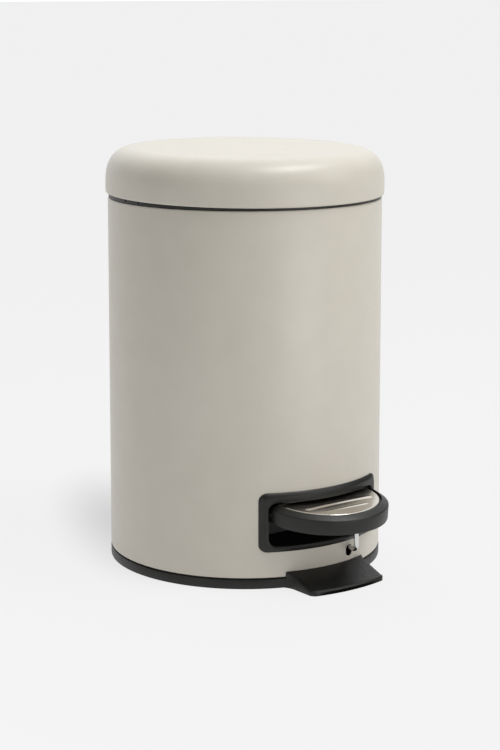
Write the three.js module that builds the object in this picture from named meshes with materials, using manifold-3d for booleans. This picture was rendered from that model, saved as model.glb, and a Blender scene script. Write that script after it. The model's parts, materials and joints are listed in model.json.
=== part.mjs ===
// A small round pedal bin: a steel drum and domed lid, a plastic base with a toe plate, a
// half-round pedal in a framed recess, and the wire lever and push rod that open the lid.
// Millimetres, +Z up. The origin is where the drum's axis meets the floor. The pedal faces
// -Y and the lid's hinge is at +Y.

import * as THREE from "three";
import { mergeVertices } from "three/addons/utils/BufferGeometryUtils.js";
import Module from "manifold-3d";

const wasm = await Module();
wasm.setup();

// ---- driving dimensions ------------------------------------------------------------

const ROUND = 48; // sides of the large turned pieces
const SMALL_ROUND = 16; // sides of pins, screws and holes
const GAP = 0.3; // clearance between neighbouring pieces
const FAR = 200; // reach of a cutting tool that must pass right through

const DRUM = { radius: 85, sheet: 0.7, bottom: 6.75, top: 226.6 };
const BASE = { radius: 84.8, floor: 2.6, ringTop: 6.4, collar: 12, collarRadius: 83.9, wall: 2 };
const TOE = { halfWidth: 28, reach: 107, frontHeight: 2.4, backHeight: 9.9, corner: 3, root: 60 };
const TOE_LIP = { rise: 0.6, width: 2 };
const PAD = { radius: 7, height: 1.3, circle: 66 };

const BEZEL = { halfWidth: 44.6, bottom: 22.5, top: 58.6, corner: 4.5, face: 87.2 };
const MOUTH = { halfWidth: 39.9, bottom: 26.4, top: 52.3, corner: 4.5, back: -58, wall: 2.1 };
const SNAP = { depth: 1.5, front: -71.2, back: -66, bottom: 35, top: 43 };

// The pedal is drawn level and then leans forward about this point.
const PEDAL = { y: -85, z: 49, lean: 0.085, skirt: 9.1, deck: 3.5, wall: 2.4 };
const PEDAL_RIM = { halfWidth: 38.8, reach: 36.1 };
const PEDAL_WELL = { halfWidth: 34.6, reach: 31.3, rise: 2.3, floor: 0.5, back: 5.4 };
const PEDAL_CENTRE = 3.6; // centre of the half ellipse, along the leaning pedal
const PEDAL_BACK = 18;
const PEDAL_HEEL = { length: 8, top: -1.6 }; // lowered so that it clears the recess when pressed
const PEDAL_RIB = { near: 2.2, far: 3.7, front: -14, back: 5, depth: 3.4 }; // either side of the wire
const PEDAL_AXLE = { y: -72, z: 44, radius: 1.5 };
const PLATE = { thickness: 1.1, inset: 1.1 };

const WIRE = 1.5; // radius of the lever wire and the push rod
const LEVER = { x: 16.5, z: 17.6, rear: 81.6, bend: -90.2, turn: 3.4, knee: 27, hookTop: [-85.9, 44.9] };
const FULCRUM = { y: -58, z: 12.8, play: 0.4 };
const LEVER_BLOCK = { halfWidth: 5.6, halfLength: 5, below: 3.6, above: 3.2 };
const EAR = { thickness: 2.5, halfLength: 4.5, foot: 1, rise: 4.2 };
const SLOT = { halfWidth: 2.9, bottom: 12.3, top: 19.5 };

const ROD = { y: 79.6, bottom: 19.5, top: 214.2 };
const ROD_CAP = { radius: 2.5, bottom: 208.5, top: 216.1, roof: 1.6 };
const GUIDE_HEIGHTS = { lower: 64, upper: 186 };
const GUIDE = { halfWidth: 5, height: 8, inner: 76.8 };

const RIM = { lip: 85, top: 230, inner: 82.4, ledge: 77.4, ledgeTop: 224, skirtBottom: 214 };
const RIM_NOTCH = { halfWidth: 20, front: 78.4, rodHalfWidth: 4.5, rodFront: 74 };
const RIM_SLIT = { y: 7, halfWidth: 0.5 };
const BUCKET = { bottom: 62, lowRadius: 70, topRadius: 75, flange: 79.2, top: 226.3, wall: 1.6 };
const ROD_NOTCH = 4.2; // radius of the cut in the bucket's flange beside the push rod
const BUCKET_LUG = { near: 76.2, far: 78.4, halfWidth: 5, rise: 3.2 };
const BAIL = { radius: 74.5, z: 229.6, wire: 1.25, pivot: 78.9, grip: 3, gripAngle: 0.36 };

const HINGE = { y: 93, z: 226, pin: 1.5, knuckle: 3.6, lug: 4, gapHalf: 10.3, halfWidth: 22 };
const HOUSING = { bottom: 197, top: 221, front: 80, back: 99.2, wall: 2.4, boss: 3.6 };
const HINGE_SCREW = { x: 9, z: 208, shank: 1.5, head: 3.25, headBack: 81.2, headFront: 83, tip: 94 };

const LID = { radius: 86.4, sheet: 0.8, side: 6.78, shoulder: 18.46, height: 27.85, squareness: 2.44 };
const LID_SEAT = { front: 228.1, tilt: 0.014 };
const LINER = { radius: 85.3, wall: 1.4, ledge: 80.2, bottom: 2.6, ledgeTop: 4.2, top: 9 };
const LINER_BOSS = { halfWidth: 24, front: 66, back: 79.6, bottom: 8.2, top: 15, web: 4.4, hole: 13.6 };
const BRACKET = { halfWidth: 18.5, arm: [227.3, 229.5], riser: [80.3, 81.8], plate: [236.5, 238] };
const BRACKET_REACH = { front: 67, shelf: 85.5 };
const FINGER = { halfWidth: 2, front: 78.6, back: 81.6, noseZ: 217.9 };
const BRACKET_SCREW = { x: 12, y: 73, shank: 1.5, head: 3.2, bottom: 234.9, tip: 242.5 };

// ---- colours -----------------------------------------------------------------------

const coat = () => new THREE.MeshStandardMaterial({ color: 0xc9c4b8, roughness: 0.5, metalness: 0.1 });
const black = () => new THREE.MeshStandardMaterial({ color: 0x232422, roughness: 0.6, metalness: 0 });
const grey = () => new THREE.MeshStandardMaterial({ color: 0x4a4b4a, roughness: 0.65, metalness: 0 });
const rubber = () => new THREE.MeshStandardMaterial({ color: 0x1b1b1b, roughness: 0.9, metalness: 0 });
const steel = () => new THREE.MeshStandardMaterial({ color: 0xc4beb2, roughness: 0.3, metalness: 1 });
const bright = () => new THREE.MeshStandardMaterial({ color: 0xd6d6d4, roughness: 0.15, metalness: 1 });

// ---- solids ------------------------------------------------------------------------

function toSolid(geometry) {
  geometry.deleteAttribute("normal");
  geometry.deleteAttribute("uv");
  const merged = mergeVertices(geometry, 1e-4);
  return new wasm.Manifold(
    new wasm.Mesh({
      numProp: 3,
      vertProperties: new Float32Array(merged.attributes.position.array),
      triVerts: new Uint32Array(merged.index.array),
    }),
  );
}

function toGeometry(solid) {
  const mesh = solid.getMesh();
  const geometry = new THREE.BufferGeometry();
  geometry.setAttribute("position", new THREE.BufferAttribute(new Float32Array(mesh.vertProperties), 3));
  geometry.setIndex(new THREE.BufferAttribute(new Uint32Array(mesh.triVerts), 1));
  return geometry;
}

function union(solids) {
  return solids.reduce((whole, solid) => whole.add(solid));
}

// A turned piece about Z from [radius, z] points, going up the outside and down the inside.
function turned(points, sides = ROUND) {
  const profile = points.map(([r, z]) => new THREE.Vector2(r, z));
  if (profile[0].x > 0) {
    profile.push(profile[0].clone());
  }
  return toSolid(new THREE.LatheGeometry(profile, sides).rotateX(Math.PI / 2));
}

// The two X edges of a piece on one side, in rising order.
function edgesOn(side, near, far) {
  return side > 0 ? [near, far] : [-far, -near];
}

function disc(radius, bottom, top, sides = ROUND) {
  return turned([[0, bottom], [radius, bottom], [radius, top], [0, top]], sides);
}

function box(x, y, z) {
  const geometry = new THREE.BoxGeometry(x[1] - x[0], y[1] - y[0], z[1] - z[0]);
  return toSolid(geometry.translate((x[0] + x[1]) / 2, (y[0] + y[1]) / 2, (z[0] + z[1]) / 2));
}

// A pin or hole tool along X, centred on the Y-Z point.
function pinX(radius, x, [y, z], sides = SMALL_ROUND) {
  const geometry = new THREE.CylinderGeometry(radius, radius, x[1] - x[0], sides).rotateZ(Math.PI / 2);
  return toSolid(geometry.translate((x[0] + x[1]) / 2, y, z));
}

// A pin or hole tool along Y, centred on the X-Z point.
function pinY(radius, [x, z], y, sides = SMALL_ROUND) {
  const geometry = new THREE.CylinderGeometry(radius, radius, y[1] - y[0], sides);
  return toSolid(geometry.translate(x, (y[0] + y[1]) / 2, z));
}

// A pin or hole tool along Z, centred on the X-Y point.
function pinZ(radius, [x, y], z, sides = SMALL_ROUND) {
  const geometry = new THREE.CylinderGeometry(radius, radius, z[1] - z[0], sides).rotateX(Math.PI / 2);
  return toSolid(geometry.translate(x, y, (z[0] + z[1]) / 2));
}

function extruded(shape, depth, basis) {
  const options = { depth, bevelEnabled: false, curveSegments: 8 };
  const geometry = new THREE.ExtrudeGeometry(shape, options);
  return toSolid(geometry.applyMatrix4(new THREE.Matrix4().makeBasis(...basis)));
}

const X = new THREE.Vector3(1, 0, 0);
const Y = new THREE.Vector3(0, 1, 0);
const Z = new THREE.Vector3(0, 0, 1);

// A Y-Z outline carried along X.
function slabX(points, x) {
  const shape = new THREE.Shape(points.map(([y, z]) => new THREE.Vector2(y, z)));
  return extruded(shape, x[1] - x[0], [Y, Z, X]).translate([x[0], 0, 0]);
}

// An X-Z rounded rectangle carried along Y.
function roundedTunnel(frame, margin, y) {
  const half = frame.halfWidth + margin;
  const low = frame.bottom - margin;
  const high = frame.top + margin;
  const r = frame.corner + margin;
  const shape = new THREE.Shape();
  shape.absarc(half - r, low + r, r, -Math.PI / 2, 0);
  shape.absarc(half - r, high - r, r, 0, Math.PI / 2);
  shape.absarc(r - half, high - r, r, Math.PI / 2, Math.PI);
  shape.absarc(r - half, low + r, r, Math.PI, 1.5 * Math.PI);
  return extruded(shape, y[1] - y[0], [X, Z, Y.clone().negate()]).translate([0, y[1], 0]);
}

// A round wire of the given radius along a curve.
function wireAlong(curve, radius, steps) {
  const section = new THREE.Shape().absarc(0, 0, radius, 0, 2 * Math.PI);
  const options = { extrudePath: curve, steps, curveSegments: 4, bevelEnabled: false };
  return toSolid(new THREE.ExtrudeGeometry(section, options));
}

// ---- drum and base -----------------------------------------------------------------

function makeDrum() {
  const inner = DRUM.radius - DRUM.sheet;
  const { bottom, top } = DRUM;
  let drum = turned([[DRUM.radius, bottom], [DRUM.radius, top], [inner, top], [inner, bottom]]);
  drum = drum.subtract(roundedTunnel(MOUTH, MOUTH.wall + GAP, [-FAR, MOUTH.back]));
  drum = drum.subtract(leverSlot());
  for (const side of [-1, 1]) {
    drum = drum.subtract(pinY(HINGE_SCREW.shank + GAP, [side * HINGE_SCREW.x, HINGE_SCREW.z], [0, FAR]));
  }
  return drum;
}

// The upright slot that the lever wire moves in.
function leverSlot() {
  const { halfWidth: r, bottom, top } = SLOT;
  const low = pinY(r, [LEVER.x, bottom + r], [-FAR, 0]);
  const high = pinY(r, [LEVER.x, top - r], [-FAR, 0]);
  const middle = box([LEVER.x - r, LEVER.x + r], [-FAR, 0], [bottom + r, top - r]);
  return union([low, high, middle]);
}

// The toe plate slopes down from the drum to a low lip and follows a wider arc in plan.
function makeToePlate() {
  const front = -TOE.reach;
  const { rise, width } = TOE_LIP;
  const wedge = slabX(
    [
      [-TOE.root, 0],
      [front, 0],
      [front, TOE.frontHeight],
      [front + rise, TOE.frontHeight + rise],
      [front + width, TOE.frontHeight + rise],
      [front + width + rise, TOE.frontHeight + rise / 3],
      [-DRUM.radius, TOE.backHeight],
      [-TOE.root, TOE.backHeight],
    ],
    [-TOE.halfWidth, TOE.halfWidth],
  );
  const plan = new THREE.Shape();
  const turn = Math.asin((TOE.halfWidth - TOE.corner) / (TOE.reach - TOE.corner));
  const side = TOE.reach - TOE.corner;
  const cornerY = -side * Math.cos(turn);
  plan.moveTo(-TOE.halfWidth, -TOE.root);
  plan.lineTo(-TOE.halfWidth, cornerY);
  plan.absarc(TOE.corner - TOE.halfWidth, cornerY, TOE.corner, Math.PI, 1.5 * Math.PI - turn);
  plan.absarc(0, 0, TOE.reach, 1.5 * Math.PI - turn, 1.5 * Math.PI + turn);
  plan.absarc(TOE.halfWidth - TOE.corner, cornerY, TOE.corner, 1.5 * Math.PI + turn, 2 * Math.PI);
  plan.lineTo(TOE.halfWidth, -TOE.root);
  const cutter = extruded(plan, 2 * FAR, [X, Y, Z]).translate([0, 0, -FAR]);
  const aboveRing = disc(DRUM.radius + GAP, BASE.ringTop, FAR);
  const insideTray = disc(BASE.collarRadius, -FAR, BASE.ringTop);
  return wedge.intersect(cutter).subtract(aboveRing).subtract(insideTray);
}

function makeBase() {
  const { radius, floor, ringTop, collar, collarRadius, wall } = BASE;
  const tray = turned([
    [0, 0],
    [radius, 0],
    [radius, ringTop],
    [collarRadius, ringTop],
    [collarRadius, collar],
    [collarRadius - wall, collar],
    [collarRadius - wall, floor],
    [0, floor],
  ]);
  let base = union([tray, makeToePlate(), ...makeEars()]);
  for (const place of padPlaces()) {
    base = base.subtract(pinZ(PAD.radius + GAP, place, [-1, PAD.height + GAP], 24));
  }
  return base;
}

// Two upright ears carry the lever's pin.
function makeEars() {
  const near = LEVER_BLOCK.halfWidth + FULCRUM.play;
  const { y, z } = FULCRUM;
  return [-1, 1].map((side) => {
    const edges = edgesOn(side, near, near + EAR.thickness).map((edge) => LEVER.x + edge);
    const plate = box(edges, [y - EAR.halfLength, y + EAR.halfLength], [EAR.foot, z + EAR.rise]);
    return plate.subtract(pinX(WIRE + GAP, [-FAR, FAR], [y, z]));
  });
}

function padPlaces() {
  return [45, 135, 225, 315].map((degrees) => {
    const angle = THREE.MathUtils.degToRad(degrees);
    return [PAD.circle * Math.cos(angle), PAD.circle * Math.sin(angle)];
  });
}

// ---- recess, pedal and its axle ----------------------------------------------------

// A curved frame on the drum's face, a box behind it, and a snap lug on each side.
function makeRecess() {
  const { face, bottom, top } = BEZEL;
  const back = DRUM.radius + GAP;
  const band = turned([
    [back, bottom],
    [face - 1, bottom],
    [face, bottom + 1],
    [face, top - 1],
    [face - 1, top],
    [back, top],
  ]);
  const frame = band.intersect(roundedTunnel(BEZEL, 0, [-FAR, -40]));
  const sleeve = roundedTunnel(MOUTH, MOUTH.wall, [-FAR, MOUTH.back + MOUTH.wall]);
  const trimmed = sleeve.intersect(disc(face - 1, 0, FAR));
  const outside = MOUTH.halfWidth + MOUTH.wall;
  const lugs = [-1, 1].map((side) => {
    const edges = edgesOn(side, MOUTH.halfWidth + 1, outside + SNAP.depth);
    return box(edges, [SNAP.front, SNAP.back], [SNAP.bottom, SNAP.top]);
  });
  const hollow = roundedTunnel(MOUTH, 0, [-FAR, MOUTH.back]);
  const across = [-outside - 0.2, outside + 0.2];
  const axleHole = pinX(PEDAL_AXLE.radius + GAP, across, [PEDAL_AXLE.y, PEDAL_AXLE.z]);
  return union([frame, trimmed, ...lugs]).subtract(hollow).subtract(axleHole);
}

// Half an ellipse in front and straight sides behind, seen from above.
function pedalOutline({ halfWidth, reach }, back) {
  const shape = new THREE.Shape();
  shape.moveTo(halfWidth, back);
  shape.lineTo(-halfWidth, back);
  shape.absellipse(0, PEDAL_CENTRE, halfWidth, reach, Math.PI, 2 * Math.PI);
  return shape;
}

function pedalPrism(size, back, z) {
  const options = { depth: z[1] - z[0], bevelEnabled: false, curveSegments: 14 };
  const geometry = new THREE.ExtrudeGeometry(pedalOutline(size, back), options);
  return toSolid(geometry.translate(0, 0, z[0]));
}

// The band around the well rises inward from the pedal's top edge in three low steps.
function pedalBand() {
  const { halfWidth, rise } = PEDAL_WELL;
  const steps = 3;
  const bands = [];
  for (let i = 0; i < steps; i += 1) {
    const part = (i + 0.5) / steps;
    const size = {
      halfWidth: THREE.MathUtils.lerp(PEDAL_RIM.halfWidth, halfWidth, part),
      reach: THREE.MathUtils.lerp(PEDAL_RIM.reach, PEDAL_WELL.reach, part),
    };
    bands.push(pedalPrism(size, PEDAL_WELL.back + 1, [-1, (rise * (i + 1)) / steps]));
  }
  return union(bands);
}

function makePedal(axle) {
  const { halfWidth, reach } = PEDAL_RIM;
  const block = pedalPrism(PEDAL_RIM, PEDAL_BACK, [-PEDAL.skirt, 0]).add(pedalBand());
  const well = pedalPrism(PEDAL_WELL, PEDAL_WELL.back, [PEDAL_WELL.floor, FAR]);
  const inside = { halfWidth: halfWidth - PEDAL.wall, reach: reach - PEDAL.wall };
  const roof = PEDAL_WELL.floor - PEDAL.deck;
  const under = pedalPrism(inside, PEDAL_BACK - PEDAL.wall, [-FAR, roof]);
  const ribs = [-1, 1].map((side) => {
    const edges = edgesOn(side, PEDAL_RIB.near, PEDAL_RIB.far).map((edge) => LEVER.x + edge);
    return box(edges, [PEDAL_RIB.front, PEDAL_RIB.back], [roof - PEDAL_RIB.depth, roof + 1]);
  });
  const heel = box([-FAR, FAR], [PEDAL_BACK - PEDAL_HEEL.length, FAR], [PEDAL_HEEL.top, FAR]);
  const body = block.subtract(well).subtract(under).subtract(heel);
  return union([body, ...ribs]).subtract(pinX(PEDAL_AXLE.radius + GAP, [-FAR, FAR], axle));
}

function makePlate() {
  const size = {
    halfWidth: PEDAL_WELL.halfWidth - PLATE.inset,
    reach: PEDAL_WELL.reach - PLATE.inset,
  };
  const bottom = PEDAL_WELL.floor + GAP;
  return pedalPrism(size, PEDAL_WELL.back - PLATE.inset, [bottom, bottom + PLATE.thickness]);
}

function makePedalAxle() {
  const reach = MOUTH.halfWidth + MOUTH.wall - 0.2;
  return pinX(PEDAL_AXLE.radius, [-reach, reach], [PEDAL_AXLE.y, PEDAL_AXLE.z]);
}

// ---- lever and push rod ------------------------------------------------------------

// The wire runs straight under the bucket, leaves the drum, turns up, and leans back under
// the pedal's deck.
function makeLeverWire() {
  const point = (y, z) => new THREE.Vector3(LEVER.x, y, z);
  const path = new THREE.CurvePath();
  const bendStart = point(LEVER.bend + LEVER.turn, LEVER.z);
  const bendEnd = point(LEVER.bend, LEVER.z + LEVER.turn);
  const knee = point(LEVER.bend, LEVER.knee);
  path.add(new THREE.LineCurve3(point(LEVER.rear, LEVER.z), bendStart));
  path.add(new THREE.QuadraticBezierCurve3(bendStart, point(LEVER.bend, LEVER.z), bendEnd));
  path.add(new THREE.LineCurve3(bendEnd, knee));
  path.add(new THREE.LineCurve3(knee, point(...LEVER.hookTop)));
  return wireAlong(path, WIRE, 64);
}

function makeLeverBlock() {
  const { halfWidth, halfLength, below, above } = LEVER_BLOCK;
  const { y, z } = FULCRUM;
  const width = [LEVER.x - halfWidth, LEVER.x + halfWidth];
  const outer = box(width, [y - halfLength, y + halfLength], [z - below, LEVER.z + above]);
  const pinHole = pinX(WIRE + GAP, [-FAR, FAR], [y, z]);
  const wireHole = pinY(WIRE + GAP, [LEVER.x, LEVER.z], [-FAR, FAR]);
  return outer.subtract(pinHole).subtract(wireHole);
}

function makeLeverPin() {
  const reach = LEVER_BLOCK.halfWidth + FULCRUM.play + EAR.thickness + 0.5;
  return pinX(WIRE, [LEVER.x - reach, LEVER.x + reach], [FULCRUM.y, FULCRUM.z]);
}

function makePushRod() {
  return pinZ(WIRE, [LEVER.x, ROD.y], [ROD.bottom, ROD.top], 12);
}

function makeRodCap() {
  const place = [LEVER.x, ROD.y];
  const socket = pinZ(WIRE + GAP, place, [0, ROD_CAP.top - ROD_CAP.roof]);
  return pinZ(ROD_CAP.radius, place, [ROD_CAP.bottom, ROD_CAP.top]).subtract(socket);
}

// A block against the drum's inner face that keeps the rod upright.
function makeRodGuide(bottom) {
  const x = [LEVER.x - GUIDE.halfWidth, LEVER.x + GUIDE.halfWidth];
  const height = [bottom, bottom + GUIDE.height];
  const block = box(x, [GUIDE.inner, DRUM.radius], height);
  const trimmed = block.intersect(disc(DRUM.radius - DRUM.sheet - GAP, height[0] - 1, height[1] + 1));
  return trimmed.subtract(pinZ(WIRE + GAP, [LEVER.x, ROD.y], [0, 2 * FAR]));
}

// ---- top rim, bucket and bail ------------------------------------------------------

// The rim caps the drum's edge and has a ledge for the bucket. It is cut away behind for
// the lid's bracket and the push rod, and slit beside each handle lug.
function makeTopRim() {
  const { lip, top, inner, ledge, ledgeTop, skirtBottom } = RIM;
  const outer = DRUM.radius - DRUM.sheet - GAP;
  const seat = DRUM.top + GAP;
  let rim = turned([
    [outer, skirtBottom],
    [outer, seat],
    [lip, seat],
    [lip, top - 0.5],
    [lip - 0.5, top],
    [inner, top],
    [inner, ledgeTop],
    [ledge, ledgeTop],
    [ledge, ledgeTop - 1.8],
    [inner, ledgeTop - 1.8],
    [inner, skirtBottom],
  ]);
  const { halfWidth, front, rodHalfWidth, rodFront } = RIM_NOTCH;
  rim = rim.subtract(box([-halfWidth, halfWidth], [front, FAR], [DRUM.top - 0.2, 2 * FAR]));
  const rodSide = [LEVER.x - rodHalfWidth, LEVER.x + rodHalfWidth];
  rim = rim.subtract(box(rodSide, [rodFront, FAR], [0, 2 * FAR]));
  for (const y of [-RIM_SLIT.y, RIM_SLIT.y]) {
    const slit = [y - RIM_SLIT.halfWidth, y + RIM_SLIT.halfWidth];
    rim = rim.subtract(box([-FAR, FAR], slit, [DRUM.top + 1, 2 * FAR]));
  }
  return rim;
}

function makeBucket() {
  const { bottom, lowRadius, topRadius, flange, top, wall } = BUCKET;
  const cup = turned([
    [0, bottom],
    [lowRadius - 2, bottom],
    [lowRadius, bottom + 2],
    [topRadius, top - 2],
    [flange, top - 2],
    [flange, top],
    [topRadius - wall, top],
    [lowRadius - wall, bottom + wall],
    [0, bottom + wall],
  ]);
  const { near, far, halfWidth, rise } = BUCKET_LUG;
  const lugs = [-1, 1].map((side) => {
    const lug = box(edgesOn(side, near, far), [-halfWidth, halfWidth], [top - 1, BAIL.z + rise]);
    return lug.subtract(pinX(BAIL.wire + GAP, [-FAR, FAR], [0, BAIL.z]));
  });
  return union([cup, ...lugs]).subtract(pinZ(ROD_NOTCH, [LEVER.x, ROD.y], [top - 4, top + 4]));
}

function bailCurve(halfAngle) {
  const front = 1.5 * Math.PI;
  const arc = new THREE.EllipseCurve(0, 0, BAIL.radius, BAIL.radius, front - halfAngle, front + halfAngle);
  const points = arc.getPoints(36).map((p) => new THREE.Vector3(p.x, p.y, BAIL.z));
  return new THREE.CatmullRomCurve3(points);
}

function makeBailWire() {
  const pins = [-1, 1].map((side) => {
    return pinX(BAIL.wire, edgesOn(side, BAIL.radius - 1, BAIL.pivot), [0, BAIL.z]);
  });
  return union([wireAlong(bailCurve(Math.PI / 2), BAIL.wire, 36), ...pins]);
}

function makeBailGrip() {
  const sleeve = wireAlong(bailCurve(BAIL.gripAngle), BAIL.grip, 14);
  return sleeve.subtract(wireAlong(bailCurve(BAIL.gripAngle + 0.05), BAIL.wire + GAP, 14));
}

// ---- hinge -------------------------------------------------------------------------

function makeHingeHousing() {
  const { bottom, top, front, back, wall, boss: bossRadius } = HOUSING;
  const outline = [
    [front, bottom],
    [back - 3, bottom],
    [back, bottom + 4],
    [back, top - 2],
    [back - 2, top],
    [front, top],
  ];
  const inner = HINGE.halfWidth - wall;
  const hollow = box([-inner, inner], [0, back - wall], [bottom + wall, top - wall]);
  let housing = slabX(outline, [-HINGE.halfWidth, HINGE.halfWidth]).subtract(hollow);
  for (const side of [-1, 1]) {
    const lug = edgesOn(side, HINGE.gapHalf, HINGE.halfWidth);
    const web = box(lug, [HINGE.y - HINGE.lug, HINGE.y + HINGE.lug], [top - 1, HINGE.z]);
    const eye = pinX(HINGE.lug, lug, [HINGE.y, HINGE.z], 24);
    const boss = pinY(bossRadius, [side * HINGE_SCREW.x, HINGE_SCREW.z], [front, back - 1]);
    housing = union([housing, web, eye, boss]);
  }
  housing = housing.subtract(disc(DRUM.radius + GAP, 0, 2 * FAR));
  for (const side of [-1, 1]) {
    const place = [side * HINGE_SCREW.x, HINGE_SCREW.z];
    housing = housing.subtract(pinY(HINGE_SCREW.shank + GAP, place, [0, HINGE_SCREW.tip + GAP]));
  }
  return housing.subtract(pinX(HINGE.pin + GAP, [-FAR, FAR], [HINGE.y, HINGE.z]));
}

function makeHingePin() {
  const reach = HINGE.halfWidth + 0.4;
  return pinX(HINGE.pin, [-reach, reach], [HINGE.y, HINGE.z]);
}

function makeHingeScrew(side) {
  const place = [side * HINGE_SCREW.x, HINGE_SCREW.z];
  const head = pinY(HINGE_SCREW.head, place, [HINGE_SCREW.headBack, HINGE_SCREW.headFront]);
  return head.add(pinY(HINGE_SCREW.shank, place, [HINGE_SCREW.headFront - 0.5, HINGE_SCREW.tip]));
}

// ---- lid ---------------------------------------------------------------------------

// The lid's section: a short upright side, then a squared-off shoulder up to a flat top.
function lidSection(inset) {
  const rise = LID.height - LID.side - inset;
  const run = LID.shoulder - inset;
  const flat = LID.radius - LID.shoulder;
  const power = 2 / LID.squareness;
  const steps = 7;
  const points = [[LID.radius - inset, 0]];
  for (let i = 0; i <= steps; i += 1) {
    const angle = (i / steps) * (Math.PI / 2);
    const r = flat + run * Math.cos(angle) ** power;
    points.push([r, LID.side + rise * Math.sin(angle) ** power]);
  }
  points.push([0, LID.height - inset]);
  return points;
}

function makeLidShell() {
  const inside = lidSection(LID.sheet).reverse();
  return turned([...inside, ...lidSection(0)]);
}

// A ring inside the lid's side with a screw block at the back for the bracket.
function makeLidLiner() {
  const { radius, wall, ledge, bottom, ledgeTop, top } = LINER;
  const ring = turned([
    [radius, bottom],
    [radius, top],
    [radius - wall, top],
    [radius - wall, ledgeTop],
    [ledge, ledgeTop],
    [ledge, bottom],
  ]);
  const { halfWidth, front, back, web } = LINER_BOSS;
  const clear = BRACKET.halfWidth + 0.8;
  const notched = ring.subtract(box([-clear, clear], [front, FAR], [-FAR, FAR]));
  const block = box([-halfWidth, halfWidth], [front, back], [LINER_BOSS.bottom, LINER_BOSS.top]);
  const webs = [-1, 1].map((side) => {
    const edges = edgesOn(side, halfWidth - web, halfWidth);
    return box(edges, [front, radius], [ledgeTop + 1, LINER_BOSS.bottom + 1]);
  });
  const trim = disc(radius - 0.6, -FAR, FAR);
  let liner = union([notched, block, ...webs.map((piece) => piece.intersect(trim))]);
  for (const side of [-1, 1]) {
    const place = [side * BRACKET_SCREW.x, BRACKET_SCREW.y];
    liner = liner.subtract(pinZ(BRACKET_SCREW.shank + 0.5, place, [0, LINER_BOSS.hole]));
  }
  return liner;
}

// A bent steel strap: knuckle, arm over the drum's edge, riser, screw plate, and the
// finger that hooks down inside the drum to the push rod.
function makeLidBracket() {
  const { halfWidth, arm, riser, plate } = BRACKET;
  const narrow = [GAP - HINGE.gapHalf, HINGE.gapHalf - GAP];
  const wide = [-halfWidth, halfWidth];
  const finger = [LEVER.x - FINGER.halfWidth, LEVER.x + FINGER.halfWidth];
  const middle = (FINGER.front + FINGER.back) / 2;
  const whole = union([
    pinX(HINGE.knuckle, narrow, [HINGE.y, HINGE.z], 24),
    box(narrow, [riser[0], HINGE.y], arm),
    box(wide, [riser[0], BRACKET_REACH.shelf], arm),
    box(wide, riser, [arm[0], plate[1]]),
    box(wide, [BRACKET_REACH.front, riser[1]], plate),
    box(finger, [FINGER.front, FINGER.back], [FINGER.noseZ, arm[1]]),
    pinX((FINGER.back - FINGER.front) / 2, finger, [middle, FINGER.noseZ]),
  ]);
  let bracket = whole.subtract(pinX(HINGE.pin + GAP, [-FAR, FAR], [HINGE.y, HINGE.z]));
  for (const side of [-1, 1]) {
    const place = [side * BRACKET_SCREW.x, BRACKET_SCREW.y];
    bracket = bracket.subtract(pinZ(BRACKET_SCREW.shank + GAP, place, [0, 2 * FAR]));
  }
  return bracket;
}

function makeBracketScrew(side) {
  const place = [side * BRACKET_SCREW.x, BRACKET_SCREW.y];
  const { shank, head, bottom, tip } = BRACKET_SCREW;
  const under = BRACKET.plate[0] - GAP;
  return pinZ(head, place, [bottom, under]).add(pinZ(shank, place, [under - 0.5, tip]));
}

// ---- assembly ----------------------------------------------------------------------

const bin = new THREE.Group();

function place(parent, name, solid, material) {
  const mesh = new THREE.Mesh(toGeometry(solid), material);
  mesh.name = name;
  parent.add(mesh);
}

place(bin, "body_shell", makeDrum(), coat());
place(bin, "base_moulding", makeBase(), black());
padPlaces().forEach((spot, index) => {
  place(bin, `foot_pad_${index + 1}`, pinZ(PAD.radius, spot, [0, PAD.height], 24), rubber());
});
place(bin, "recess_housing", makeRecess(), black());
place(bin, "pedal_axle", makePedalAxle(), bright());

const pedal = new THREE.Group();
pedal.position.set(0, PEDAL.y, PEDAL.z);
pedal.rotation.x = PEDAL.lean;
pedal.updateMatrixWorld();
const axleInPedal = pedal.worldToLocal(new THREE.Vector3(0, PEDAL_AXLE.y, PEDAL_AXLE.z));
place(pedal, "pedal_body", makePedal([axleInPedal.y, axleInPedal.z]), black());
place(pedal, "pedal_plate", makePlate(), steel());
bin.add(pedal);

place(bin, "lever_wire", makeLeverWire(), bright());
place(bin, "lever_block", makeLeverBlock(), black());
place(bin, "lever_pin", makeLeverPin(), bright());
place(bin, "push_rod", makePushRod(), bright());
place(bin, "push_rod_cap", makeRodCap(), black());
for (const [level, height] of Object.entries(GUIDE_HEIGHTS)) {
  place(bin, `push_rod_guide_${level}`, makeRodGuide(height), black());
}

place(bin, "top_rim", makeTopRim(), black());
place(bin, "bucket", makeBucket(), grey());
place(bin, "bail_wire", makeBailWire(), bright());
place(bin, "bail_grip", makeBailGrip(), black());

place(bin, "hinge_housing", makeHingeHousing(), black());
place(bin, "hinge_pin", makeHingePin(), bright());
place(bin, "lid_bracket", makeLidBracket(), steel());
for (const [name, side] of [["left", -1], ["right", 1]]) {
  place(bin, `hinge_screw_${name}`, makeHingeScrew(side), bright());
  place(bin, `bracket_screw_${name}`, makeBracketScrew(side), bright());
}

// The closed lid sits a little higher at the hinge than at the front.
const lid = new THREE.Group();
lid.position.set(0, 0, LID_SEAT.front + LID_SEAT.tilt * LID.radius);
lid.rotation.x = LID_SEAT.tilt;
place(lid, "lid_shell", makeLidShell(), coat());
place(lid, "lid_liner", makeLidLiner(), black());
bin.add(lid);

export default bin;
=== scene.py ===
"""Looks of a small round pedal bin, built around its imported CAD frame.

Shapes are written in millimetres and scaled to metres when a mesh is made. The pedal faces
-Y, the lid's hinge is at +Y, and the floor is Z = 0.
"""

import json
import math

import bmesh
import bpy
from mathutils import Matrix, Vector


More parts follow.
